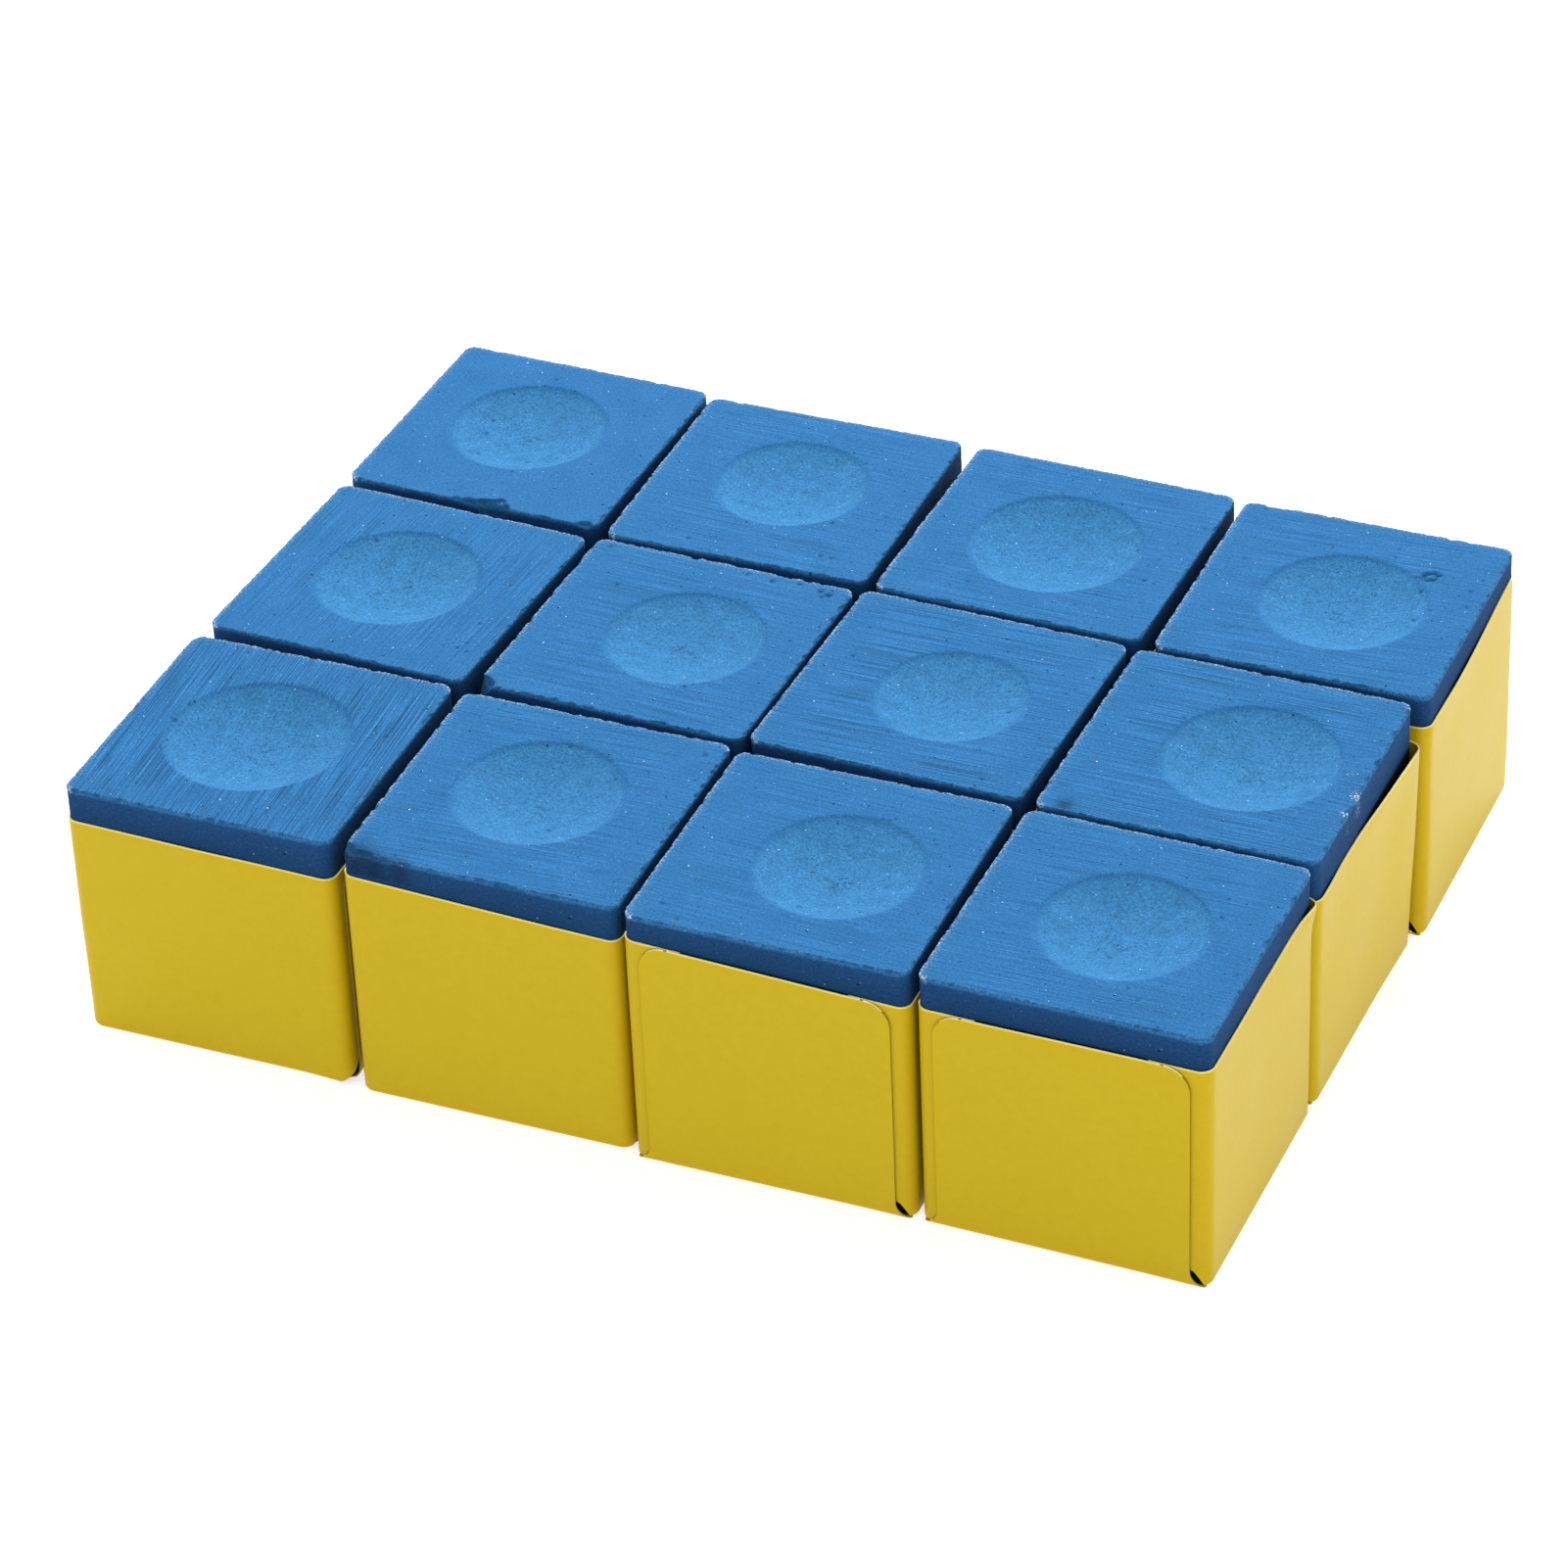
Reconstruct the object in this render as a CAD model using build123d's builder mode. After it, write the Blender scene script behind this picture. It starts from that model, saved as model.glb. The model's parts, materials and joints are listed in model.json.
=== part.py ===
"""Twelve cubes of billiard cue chalk, standing together in three rows of four.

Each cube is a block of chalk with a round dimple for the cue tip in its top, and a paper label that is
folded up round its bottom and sides and stops short of the top. Lengths are millimetres. X runs along
the rows of four, Y from the front row to the back row, and Z up from the table.
"""

import os
from math import atan2, degrees, sqrt
from typing import NamedTuple

from build123d import *

os.makedirs("parts", exist_ok=True)

# The chalk block
CHALK_SIDE = 22.0
CHALK_HEIGHT = 22.0
UPRIGHT_RADIUS = 0.9
TOP_EDGE_RADIUS = 0.2
BOTTOM_EDGE_RADIUS = 0.3
DIMPLE_RADIUS = 14.0  # of the ball-ended cutter, not of the rim

# The folded paper label
PAPER = 0.12
FLAP_WIDTH = 19.4
FLAP_FOOT_WIDTH = 21.0  # where the flap flares out to its fold
FLAP_CORNER_RADIUS = 2.0
EAR_WIDTH = 4.5
RELIEF_HEIGHT = 1.6  # of the cut that lets an ear and a flap fold at one corner
RELIEF_MOUTH = 0.6

# The set
COLUMN_PITCH = 22.8
ROW_PITCH = 22.9
COLUMNS = 4
ROWS = ("front", "middle", "back")


class Cube(NamedTuple):
    """How one hand-set cube differs from the others."""

    shift: tuple  # from its place in the grid
    turn: float  # degrees about Z
    dimple: tuple  # the dimple's place from the middle of the top
    across: float  # the dimple's rim
    band: float  # bare chalk above the label, at its left
    slant: float  # how much lower the label's top is at its right
    flaps_face: str  # "x" or "y"


CUBES = {
    "front_1": Cube((-0.5, -0.1), 1.0, (-0.2, 0.0), 14.4, 2.8, 0.5, "x"),
    "front_2": Cube((-0.15, -0.1), 1.0, (-0.3, 0.6), 13.4, 2.1, 0.9, "x"),
    "front_3": Cube((-0.3, -0.2), 1.0, (1.6, -0.3), 13.0, 2.1, 0.9, "y"),
    "front_4": Cube((-0.3, 0.1), 0.0, (0.6, -0.3), 13.0, 2.7, 0.0, "y"),
    "middle_1": Cube((-0.2, 0.1), -1.5, (-0.4, 0.3), 13.4, 3.0, 0.0, "x"),
    "middle_2": Cube((0.0, 0.0), -0.5, (1.3, 0.3), 12.8, 3.1, 0.0, "y"),
    "middle_3": Cube((-0.3, 0.1), -1.0, (1.0, -0.2), 12.2, 2.9, 0.0, "y"),
    "middle_4": Cube((-0.2, -0.2), 0.0, (2.0, 0.1), 13.8, 3.5, 0.0, "y"),
    "back_1": Cube((0.1, 0.5), -0.5, (-0.6, 0.9), 13.0, 2.9, 0.0, "y"),
    "back_2": Cube((0.1, 0.0), 1.0, (0.2, 0.7), 12.6, 3.0, 0.0, "y"),
    "back_3": Cube((0.4, -0.1), -0.5, (0.0, -0.3), 14.0, 3.0, 0.0, "y"),
    "back_4": Cube((0.6, -0.3), 0.5, (0.7, -0.4), 13.4, 2.7, 0.0, "y"),
}


def rounded_block(width, depth, height, upright_radius, bottom_radius):
    """A block standing on the XY plane, with rounded upright and bottom edges."""
    with BuildPart() as block:
        Box(width, depth, height, align=(Align.CENTER, Align.CENTER, Align.MIN))
        fillet(block.edges().filter_by(Axis.Z), upright_radius)
        fillet(block.edges().group_by(Axis.Z)[0], bottom_radius)
    return block.part


def chalk_block(cube):
    """The chalk, with its dimple and its lightly broken edges."""
    cutter_height = CHALK_HEIGHT + sqrt(DIMPLE_RADIUS**2 - (cube.across / 2) ** 2)
    block = rounded_block(CHALK_SIDE, CHALK_SIDE, CHALK_HEIGHT, UPRIGHT_RADIUS, BOTTOM_EDGE_RADIUS)
    with BuildPart() as chalk:
        add(block)
        fillet(chalk.edges().group_by(Axis.Z)[-1], TOP_EDGE_RADIUS)
        with Locations((cube.dimple[0], cube.dimple[1], cutter_height)):
            Sphere(DIMPLE_RADIUS, mode=Mode.SUBTRACT)
    return chalk.part


def flap_pair(top):
    """The two flaps on the Y faces, as one slab as deep as the label is across them."""
    across_flaps = CHALK_SIDE + 4 * PAPER
    fold_radius = BOTTOM_EDGE_RADIUS + 2 * PAPER
    folded = rounded_block(across_flaps, across_flaps, top, UPRIGHT_RADIUS, fold_radius)
    with BuildPart() as flaps:
        with BuildSketch(Plane.XZ) as outline:
            with BuildLine():
                Polyline(
                    (FLAP_FOOT_WIDTH / 2, 0),
                    (FLAP_WIDTH / 2, RELIEF_HEIGHT),
                    (FLAP_WIDTH / 2, top),
                    (-FLAP_WIDTH / 2, top),
                    (-FLAP_WIDTH / 2, RELIEF_HEIGHT),
                    (-FLAP_FOOT_WIDTH / 2, 0),
                    close=True,
                )
            make_face()
            fillet(outline.vertices().group_by(Axis.Y)[-1], FLAP_CORNER_RADIUS)
        extrude(amount=across_flaps / 2, both=True)
        add(folded, mode=Mode.INTERSECT)
    return flaps.part


def relief_cuts():
    """Four wedges, one at the foot of each upright corner, between an ear and the flap beside it."""
    with BuildPart() as cuts:
        with BuildSketch(Plane.XZ):
            with BuildLine():
                Polyline(
                    (FLAP_WIDTH / 2, RELIEF_HEIGHT),
                    (FLAP_FOOT_WIDTH / 2, 0),
                    (FLAP_FOOT_WIDTH / 2 + RELIEF_MOUTH, 0),
                    close=True,
                )
            make_face()
            mirror(about=Plane.YZ)
        extrude(amount=CHALK_SIDE, both=True)
        middle = CHALK_SIDE - 2 * BOTTOM_EDGE_RADIUS
        Box(2 * CHALK_SIDE, middle, CHALK_SIDE, mode=Mode.SUBTRACT)
    return cuts.part


def above_label(cube, top):
    """Everything over the label's top edge, which falls to the cube's right by its slant."""
    fall = degrees(atan2(cube.slant, CHALK_SIDE))
    tilt = (fall, 0, 0) if cube.flaps_face == "x" else (0, fall, 0)
    with BuildPart() as space:
        with Locations(Location((0, 0, top - cube.slant / 2), tilt)):
            Box(
                2 * CHALK_SIDE,
                2 * CHALK_SIDE,
                CHALK_SIDE,
                align=(Align.CENTER, Align.CENTER, Align.MIN),
            )
    return space.part


def paper_label(cube):
    """One sheet: a bottom, two side panels whose ears turn the corners, and two flaps over the ears."""
    top = PAPER + CHALK_HEIGHT - cube.band
    side = CHALK_SIDE + 2 * PAPER
    gap_between_ears = CHALK_SIDE - 2 * EAR_WIDTH
    ear_layer = (CHALK_SIDE + PAPER) / 2
    flaps = flap_pair(top)
    wrap = rounded_block(side, side, top, UPRIGHT_RADIUS + PAPER, BOTTOM_EDGE_RADIUS + PAPER)
    inside = rounded_block(CHALK_SIDE, CHALK_SIDE, CHALK_HEIGHT, UPRIGHT_RADIUS, BOTTOM_EDGE_RADIUS)
    cuts = relief_cuts()
    trim = above_label(cube, top)
    with BuildPart() as label:
        add(flaps)
        add(wrap)
        with Locations((0, 0, PAPER)):
            add(inside, mode=Mode.SUBTRACT)
        with Locations((0, ear_layer, RELIEF_HEIGHT), (0, -ear_layer, RELIEF_HEIGHT)):
            Box(
                gap_between_ears,
                PAPER,
                top,
                align=(Align.CENTER, Align.CENTER, Align.MIN),
                mode=Mode.SUBTRACT,
            )
        add(cuts, mode=Mode.SUBTRACT)
        if cube.slant:
            add(trim, mode=Mode.SUBTRACT)
    return label.part


def set_place(name):
    """Where a cube stands in the grid, before the whole set is centred."""
    row, column = name.split("_")
    cube = CUBES[name]
    x = (int(column) - (COLUMNS + 1) / 2) * COLUMN_PITCH + cube.shift[0]
    y = (ROWS.index(row) - (len(ROWS) - 1) / 2) * ROW_PITCH + cube.shift[1]
    return Location((x, y, 0), (0, 0, cube.turn))


def stand_in_set(name):
    """Both pieces of one cube, moved to its place in the grid."""
    cube = CUBES[name]
    label_turn = 90 if cube.flaps_face == "x" else 0
    block = chalk_block(cube)
    wrapper = paper_label(cube)
    with BuildPart() as chalk:
        with Locations(set_place(name) * Location((0, 0, PAPER))):
            add(block)
    with BuildPart() as label:
        with Locations(set_place(name) * Location((0, 0, 0), (0, 0, label_turn))):
            add(wrapper)
    return {f"chalk_block_{name}": chalk.part, f"paper_label_{name}": label.part}


pieces = {}
for cube_name in CUBES:
    pieces.update(stand_in_set(cube_name))

# The origin is under the middle of the set's box.
box = Compound(list(pieces.values())).bounding_box()
middle = Location((-(box.min.X + box.max.X) / 2, -(box.min.Y + box.max.Y) / 2, -box.min.Z))

for piece_name, shape in pieces.items():
    with BuildPart() as piece:
        with Locations(middle):
            add(shape)
    piece.part.label = piece_name
    export_step(piece.part, f"parts/{piece_name}.step")
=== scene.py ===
"""Studio view of twelve cubes of cue chalk: sawn and pitted chalk blocks in folded paper labels.

The shapes are worked out in millimetres about the middle of each cube's base, with X to the
cube's right and Y to its back, and each piece is then put where the CAD model has it.
"""

import json
from itertools import product
from math import cos, pi, radians, sin, sqrt
from types import SimpleNamespace
from typing import NamedTuple

import bmesh
import bpy
import numpy as np
from mathutils import Matrix, Vector


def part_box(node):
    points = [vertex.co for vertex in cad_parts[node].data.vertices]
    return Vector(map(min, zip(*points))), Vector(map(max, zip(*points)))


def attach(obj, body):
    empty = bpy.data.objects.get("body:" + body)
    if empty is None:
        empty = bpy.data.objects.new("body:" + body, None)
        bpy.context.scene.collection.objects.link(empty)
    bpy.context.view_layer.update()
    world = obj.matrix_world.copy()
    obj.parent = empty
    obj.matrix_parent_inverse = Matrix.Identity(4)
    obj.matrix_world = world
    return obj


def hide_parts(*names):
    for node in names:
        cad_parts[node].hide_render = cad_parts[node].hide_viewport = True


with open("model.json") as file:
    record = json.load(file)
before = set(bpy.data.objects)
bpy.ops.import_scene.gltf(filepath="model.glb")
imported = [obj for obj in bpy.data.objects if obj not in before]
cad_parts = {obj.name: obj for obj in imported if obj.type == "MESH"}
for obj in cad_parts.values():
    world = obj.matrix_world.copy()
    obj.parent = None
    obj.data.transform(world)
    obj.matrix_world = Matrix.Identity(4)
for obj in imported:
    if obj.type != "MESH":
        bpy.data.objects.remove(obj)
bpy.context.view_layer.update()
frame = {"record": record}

MM = 0.001
NODES = {"chalk": "chalk_block_", "label": "paper_label_"}
PAPER = 0.12  # the thickness of the label

# The chalk block
HALF = 11.0  # half the block's side
UPRIGHT_RADIUS = 0.9
STRAIGHT = HALF - UPRIGHT_RADIUS  # half the straight part of a side
EDGE_RADIUS = 0.15  # of the top edges, on average
BALL_RADIUS = 14.0  # of the cutter that makes the dimple
RIM_SOFTNESS = 0.02  # width over which the dimple's rim is rounded
RIM_STEP = 0.06  # how much deeper the cutter sinks just inside its rim
BOTTOM_RADIUS = 0.3
GRID_STEP = 0.14  # between the points of the top
# Steps in from each edge of the top, so that its rounding and its chips have enough points
EDGE_STEPS = (0, 0.02, 0.05, 0.09, 0.15, 0.24, 0.36, 0.52, 0.7)
# Rows of points down the sides, as distances below the top edge
UPPER_ROWS = (0.05, 0.12, 0.21, 0.32, 0.45, 0.6, 0.8, 1, 1.3, 1.6, 1.9, 2.25, 2.6, 2.95, 3.3)
SIDE_ROWS = (*UPPER_ROWS, 3.8, 4.6, 7, 11, 15, 19, 21)
WAVES_END = 3.0  # distance below the top edge at which the sides no longer follow its waves

# Noise on the chalk, as the height and the cell of each of its layers
EDGE_NOISE = ((0.06, 1.7), (0.06, 0.5))  # added to the radius of the top edges
GROOVE_NOISE = ((1.0, 0.6), (0.8, 0.3))  # across the saw lines
LUMP_NOISE = ((0.03, 4.0), (0.006, 0.4))  # over the whole top
GROOVE_STRETCH = 0.05  # how much slower the grooves change along the saw lines
GROOVE_DEPTH = 0.003
SIDE_DEPTH = 0.012  # of the roughness of the sides, and its cell
SIDE_CELL = 0.6

# Where the chalk's material changes
RIM_BLEND = 0.12  # depth over which the flat top turns into the dimple
HOLLOW_BLEND = 0.3  # the same, for the dimple's colour
SIDE_BLEND = 0.3  # distance below the top edge over which the sides turn rough, and dark with their moulded skin and painted shade
SAW_START = 0.1  # distance in from the edges over which the saw lines begin
SAW_IN_DIMPLE = 0.2  # share of the saw lines that goes on into the dimple
TOP_DUST_AND_HIGHLIGHT = 0.15  # width of the pale dust and painted highlight on the edges, on the top and on the sides
SIDE_DUST_AND_HIGHLIGHT = 0.12
UNLIT_EDGE_SHARE = 0.05  # share of the pale dust and painted highlight on the right and front edges, next to 1 on the left and back ones, which face the key light
SCUFF_DEPTH = 1.75  # how far below the top the scuffs reach, and how softly they end
SCUFF_FADE = 0.2
GRAIN_SHIFT = 3.7  # between places in the material's noise, for each step of the seed
SIDE_GRAIN_SHIFT = 50

# Random wear
EDGE_CHIPS = (  # number, range of radius, and range of depth as a share of the radius
    (150, (0.12, 0.5), (0.14, 0.34)),
    (5, (0.5, 1.0), (0.1, 0.18)),
)
CHIP_SINK = 0.04  # how far below the top the middle of an edge's chip is
CHIP_TILT = (0.6, 1.6)  # range of how much more an edge's chip faces up than sideways
CHIP_ROUGHNESS = 0.12  # share of its radius by which a chip's surface varies
PITS = 9
PIT_RADIUS = (0.14, 0.24)
PIT_DEPTH = 0.6  # as a share of the radius
PIT_REACH = 10.3  # how far from the middle the pits go
SCAR_SPREAD = 0.55  # of the scratches about the dimple's middle
SCAR_PITS = 5  # a scratch is a row of pits
SCAR_STEP = 0.14
SCAR_RADIUS = 0.17
SCAR_DEPTH = 0.07
SIDES_START = 4.0  # distance below the top at which points surely aren't in the dimple

# The paper label: two side panels with ears that turn the corners, and two flaps over the ears
GLUE_GAP = 0.01  # taken off the sheet's thickness, so that its layers don't share a surface
LABEL_HALF = HALF + PAPER
FLAP_HALF = 9.7
FLAP_CORNER = 2.0
FLAP_FEET = (1.3, 1.2)  # how far the flap flares out at its fold, to its left and right
PLAIN_FLAP_FOOT = 0.4  # the same, for the flaps on a cube's left and right
FLARE_BEND = 2.6  # power that makes the flare curve
EAR_END = 6.5  # how far from the middle an ear stops
EAR_SLOPE = 3.0  # how fast the ear widens above the relief cut
RELIEF_HEIGHT = 1.6  # of the cuts beside the flaps that free them from the side panels
CLOSED_RELIEF_HEIGHT = 0.6  # the same, where the cut stays nearly shut
RELIEF_START = 10.94  # along the sheet from a side panel's middle, at the fold
RELIEF_END = 12.01  # where it meets the flap's edge
RELIEF_BEND = 0.6  # power that makes the cut curve
ROUNDED_RELIEF_START = 9.7  # of the first cube's label, whose cut is rounded
ROUNDED_RELIEF_BEND = 1.7
FREE_LIFT = 0.07  # of a flap's side edges, where no other cube is close
PRESSED_LIFT = 0.02
LIFTED_SHARE = 0.12  # share of half the flap's width that lifts
WAVE_HEIGHT = 0.07  # of the slack in the paper on the outside of the set, and its cell
WAVE_CELL = 5.0
WAVE_START = 4.0  # height over which the slack begins
FACE_DEPTH = 0.5  # distance behind a face within which points belong to it

# The middle of the sheet, in plan: distances along it start from a side panel's middle
SHEET_FACE = HALF + PAPER / 2
SHEET_RADIUS = UPRIGHT_RADIUS + PAPER / 2
SHEET_STRAIGHT = SHEET_FACE - SHEET_RADIUS
SHEET_TURN = SHEET_RADIUS * pi / 2
SHEET_END = SHEET_STRAIGHT + SHEET_TURN + SHEET_STRAIGHT - EAR_END
# The flaps lie over the ears
FLAP_FACE = HALF + 1.5 * PAPER
FLAP_FOLD_RADIUS = BOTTOM_RADIUS + 1.5 * PAPER

# Points of the sheet: numbers of them, and heights of their rows
PANEL_COLUMNS = 15  # half of a side panel
TURN_COLUMNS = 10
EAR_COLUMNS = 8
FLAP_COLUMNS = 61
FOLD_STEPS = 6
NEAR_STEP = 0.2  # between the rows beside the relief cuts
NEAR_END = 2.4
FAR_ROWS = 16  # from there up to the flap's rounded corners
CORNER_ROWS = 9
BRINK_ROWS = (0.2, 0.1)  # below the top
WELD_DISTANCE = 0.004  # points closer than this are joined
FLAT_DISTANCE = 0.001  # faces thinner than this are dropped

# Where the label's material changes
FOLD_REACH = 0.7  # distance from a fold over which its deeper colour fades
TOP_REACH = 0.4  # the same, below the top edge
TOP_SHARE = 0.6  # strength of that colour at the top edge
TOP_HIGHLIGHT_REACH = 0.07  # distance below the top edge over which the painted highlight along it fades
TOP_HIGHLIGHT_SHARE = 0.9  # its strength
FACING_UP = 0.7  # upward part of the normal of a cut edge that catches the light
SHARP_ANGLE = 38  # degrees between faces whose shared edge stays sharp

# Colours are linear. A pair is the two ends of a mottled surface.
TOP_BLUES = ((0.0163, 0.107, 0.267, 1), (0.0256, 0.141, 0.332, 1))
# The sides' darker blue is partly their moulded skin and partly painted shade
SIDE_SKIN_AND_SHADE_BLUES = ((0.0075, 0.047, 0.140, 1), (0.0105, 0.057, 0.164, 1))
DIMPLE_BLUES = ((0.0280, 0.148, 0.322, 1), (0.0360, 0.177, 0.378, 1))
# Pale dust on the edges, which on the left and back ones is also a painted highlight
DUST_AND_HIGHLIGHT_COLOUR = (0.68, 0.80, 0.90, 1)
BROWN_GRAIN = (0.12, 0.10, 0.06, 1)
WHITE_GRAIN = (0.72, 0.84, 0.93, 1)
PAPER_YELLOWS = ((0.480, 0.350, 0.005, 1), (0.500, 0.364, 0.008, 1))
FOLD_YELLOW = (0.50, 0.325, 0.001, 1)
TOP_EDGE_HIGHLIGHT_YELLOW = (0.92, 0.80, 0.26, 1)
CUT_SHADE_AND_HIGHLIGHT_YELLOWS = ((0.27, 0.235, 0.05, 1), (0.90, 0.80, 0.32, 1))  # the cut paper: painted shade beside the flaps, and a painted highlight on top
FLOOR_GREY = (0.6, 0.6, 0.6, 1)
FLOOR_GLOW = 0.63
WHITE = (1, 1, 1, 1)
CHALK_ROUGHNESS = 0.92
FLOOR_ROUGHNESS = 0.9
LOW_SPECULAR = 0.1

# The studio
FLOOR_HALF = 3.0  # metres
SET_MIDDLE = (0, 0, 0.011)
LIGHTS = {  # azimuth and elevation in degrees, distance and size in metres, power in watts
    "key": (192, 43, 0.9, 0.35, 10.1),
    "fill": (95, 20, 0.9, 0.7, 0.6),
}
CAMERA_AIM = (-0.0018, -0.00075, 0.011)
CAMERA_PLACE = (24.73, 34.79, 0.4558)  # azimuth, elevation and distance
CAMERA_ROLL = -2.61  # degrees
CAMERA_LENS = 135.6
SENSOR_WIDTH = 36
CLIP_START = 0.01


class Look(NamedTuple):
    """How one cube's surfaces differ from the others'."""

    turn: float  # degrees about Z
    saw: float  # direction of the saw lines, degrees from X
    grooves: float  # strength of the saw lines
    wear: float  # how much the top edges are nibbled
    scars: int  # scratches in the dimple's middle
    slant: float  # how much lower the label's top is at its right
    flaps_face: str  # "x" or "y"


LOOKS = {
    "front_1": Look(1.0, 93, 1.6, 1.0, 2, 0.5, "x"),
    "front_2": Look(1.0, 2, 0.8, 1.2, 3, 0.9, "x"),
    "front_3": Look(1.0, -3, 0.7, 1.0, 7, 0.9, "y"),
    "front_4": Look(0.0, 1, 0.8, 0.9, 4, 0.0, "y"),
    "middle_1": Look(-1.5, 88, 0.8, 1.0, 3, 0.0, "x"),
    "middle_2": Look(-0.5, -1, 0.8, 1.3, 3, 0.0, "y"),
    "middle_3": Look(-1.0, 2, 1.2, 1.0, 1, 0.0, "y"),
    "middle_4": Look(0.0, 0, 1.2, 1.1, 8, 0.0, "y"),
    "back_1": Look(-0.5, 20, 0.05, 1.0, 2, 0.0, "y"),
    "back_2": Look(1.0, -2, 0.8, 1.0, 2, 0.0, "y"),
    "back_3": Look(-0.5, 1, 0.8, 1.0, 1, 0.0, "y"),
    "back_4": Look(0.5, 3, 0.9, 1.1, 4, 0.0, "y"),
}


class Block(NamedTuple):
    """One cube as the CAD model has it, in the cube's own axes."""

    name: str
    look: Look
    dimple: Vector  # its lowest point
    top: float
    label_top: float
    seed: int


class Chip(NamedTuple):
    """A bite out of a block: its middle, the way it faces, and its ball's radius and depth."""

    at: tuple
    faces: tuple
    radius: float
    depth: float


# The chips that can be told apart
CHIPS = {
    "back_1": (
        Chip((1.8, -11, 22.1), (0.1, -1, 0.9), 1.9, 1.0),
        Chip((0.1, -11, 22.1), (-0.2, -1, 1.1), 1.3, 0.5),
        Chip((-1.3, -11, 22.1), (0, -1, 1.3), 1.0, 0.24),
        Chip((10.0, -11, 22.1), (0.2, -1, 1), 1.1, 0.45),
    ),
    "front_1": (Chip((-10.9, 10.7, 22.1), (-1, 0.6, 1), 0.8, 0.3),),
    "front_2": (
        Chip((-10.7, -10.5, 22.1), (-0.6, -1, 1.2), 1.6, 0.5),
        Chip((-9.2, -11, 22.1), (0, -1, 1.1), 1.6, 0.3),
        Chip((-7.4, -11, 22.1), (0, -1, 1.3), 1.4, 0.2),
        Chip((-5.8, -11, 22.1), (0, -1, 1.2), 1.0, 0.14),
    ),
    "middle_2": (
        Chip((-10.5, -10.6, 22.1), (-1, -1, 1), 1.6, 0.65),
        Chip((9.3, 9.6, 22.12), (0, 0, 1), 0.35, 0.25),
        Chip((8.5, 9.9, 22.12), (0, 0, 1), 0.3, 0.2),
        Chip((8.9, 9.2, 22.12), (0, 0, 1), 0.25, 0.15),
        Chip((2.2, 10.2, 22.12), (0, 0, 1), 0.3, 0.16),
        Chip((4.4, 9.9, 22.12), (0, 0, 1), 0.32, 0.18),
        Chip((6.6, 10.3, 22.12), (0, 0, 1), 0.3, 0.18),
    ),
    "back_4": (
        Chip((-8.7, 11, 22.1), (0, 1, 1), 1.0, 0.3),
        Chip((-7.9, 11, 22.1), (0, 1, 1.2), 0.8, 0.2),
        Chip((10.9, 10.9, 22.1), (1, 1, 1), 1.0, 0.35),
    ),
    "middle_4": (
        Chip((11, -1.6, 22.1), (1, 0, 1), 1.0, 0.2),
        Chip((11, -4.2, 22.1), (1, 0, 1.2), 0.8, 0.16),
        Chip((11, 2.6, 22.1), (1, 0, 0.8), 1.2, 0.2),
        Chip((11, 6.4, 22.1), (1, 0, 1), 1.0, 0.18),
    ),
    "front_4": (
        Chip((11, -3.4, 22.1), (1, 0, 1.2), 1.1, 0.15),
        Chip((11, 1.4, 22.1), (1, 0, 0.8), 1.5, 0.24),
        Chip((11, 3.2, 22.1), (1, 0, 1.1), 1.0, 0.16),
        Chip((11, 6.9, 22.1), (1, 0, 1), 1.3, 0.2),
    ),
    "front_3": (
        Chip((2.4, 6.1, 22.12), (0, 0, 1), 0.36, 0.1),
        Chip((3.0, 6.2, 22.1), (0, 0, 1), 0.3, 0.08),
        Chip((-8.0, -11, 22.1), (0, -1, 1.1), 0.9, 0.14),
    ),
}


class Scuff(NamedTuple):
    """A patch of the top: whitened by rubbing, or darkened where the amount is less than 0."""

    at: tuple
    reach: float
    amount: float


SCUFFS = {
    "middle_4": (
        Scuff((11.0, -1.9), 0.8, 1.0),
        Scuff((10.8, -4.4), 0.6, 0.8),
        Scuff((9.6, 0.6), 0.4, 0.7),
        Scuff((-8.8, -10.3), 0.7, -0.9),
    ),
    "front_3": (Scuff((1.9, -0.4), 0.9, 0.45), Scuff((1.2, -0.8), 0.5, -0.6)),
    "middle_2": (Scuff((0.6, -0.6), 0.8, 0.4),),
    "front_4": (Scuff((0.8, -0.5), 0.8, 0.4),),
    "front_1": (Scuff((0.4, -0.6), 0.8, 0.3),),
    "front_2": (
        Scuff((-9.9, -10.5), 1.1, -0.8),
        Scuff((-8.2, -10.9), 0.9, -0.7),
        Scuff((-6.3, -11.0), 0.8, -0.6),
    ),
}


class Crack(NamedTuple):
    """A ring crack in the top: its middle and its radius."""

    at: tuple
    radius: float


CRACKS = {"back_4": Crack((6.0, 5.2), 0.55)}
RING_ANGLES = np.linspace(0.2 * pi, 1.9 * pi, 22)
RING_SKEW = 0.3
RING_DEPTH = 0.25
TAIL_STEPS = (1.3, 1.7, 2.1)  # of the short crack that leads to the ring, as shares of its radius
TAIL_SLOPE = 0.4
TAIL_DEPTH = 0.15
CRACK_PIT_RADIUS = 0.2


class Lift(NamedTuple):
    """Where a label stands off its block: a place, the way it moves, how widely and how far."""

    at: tuple
    faces: tuple
    reach: float  # sideways
    rise: float  # up and down
    height: float


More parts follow.
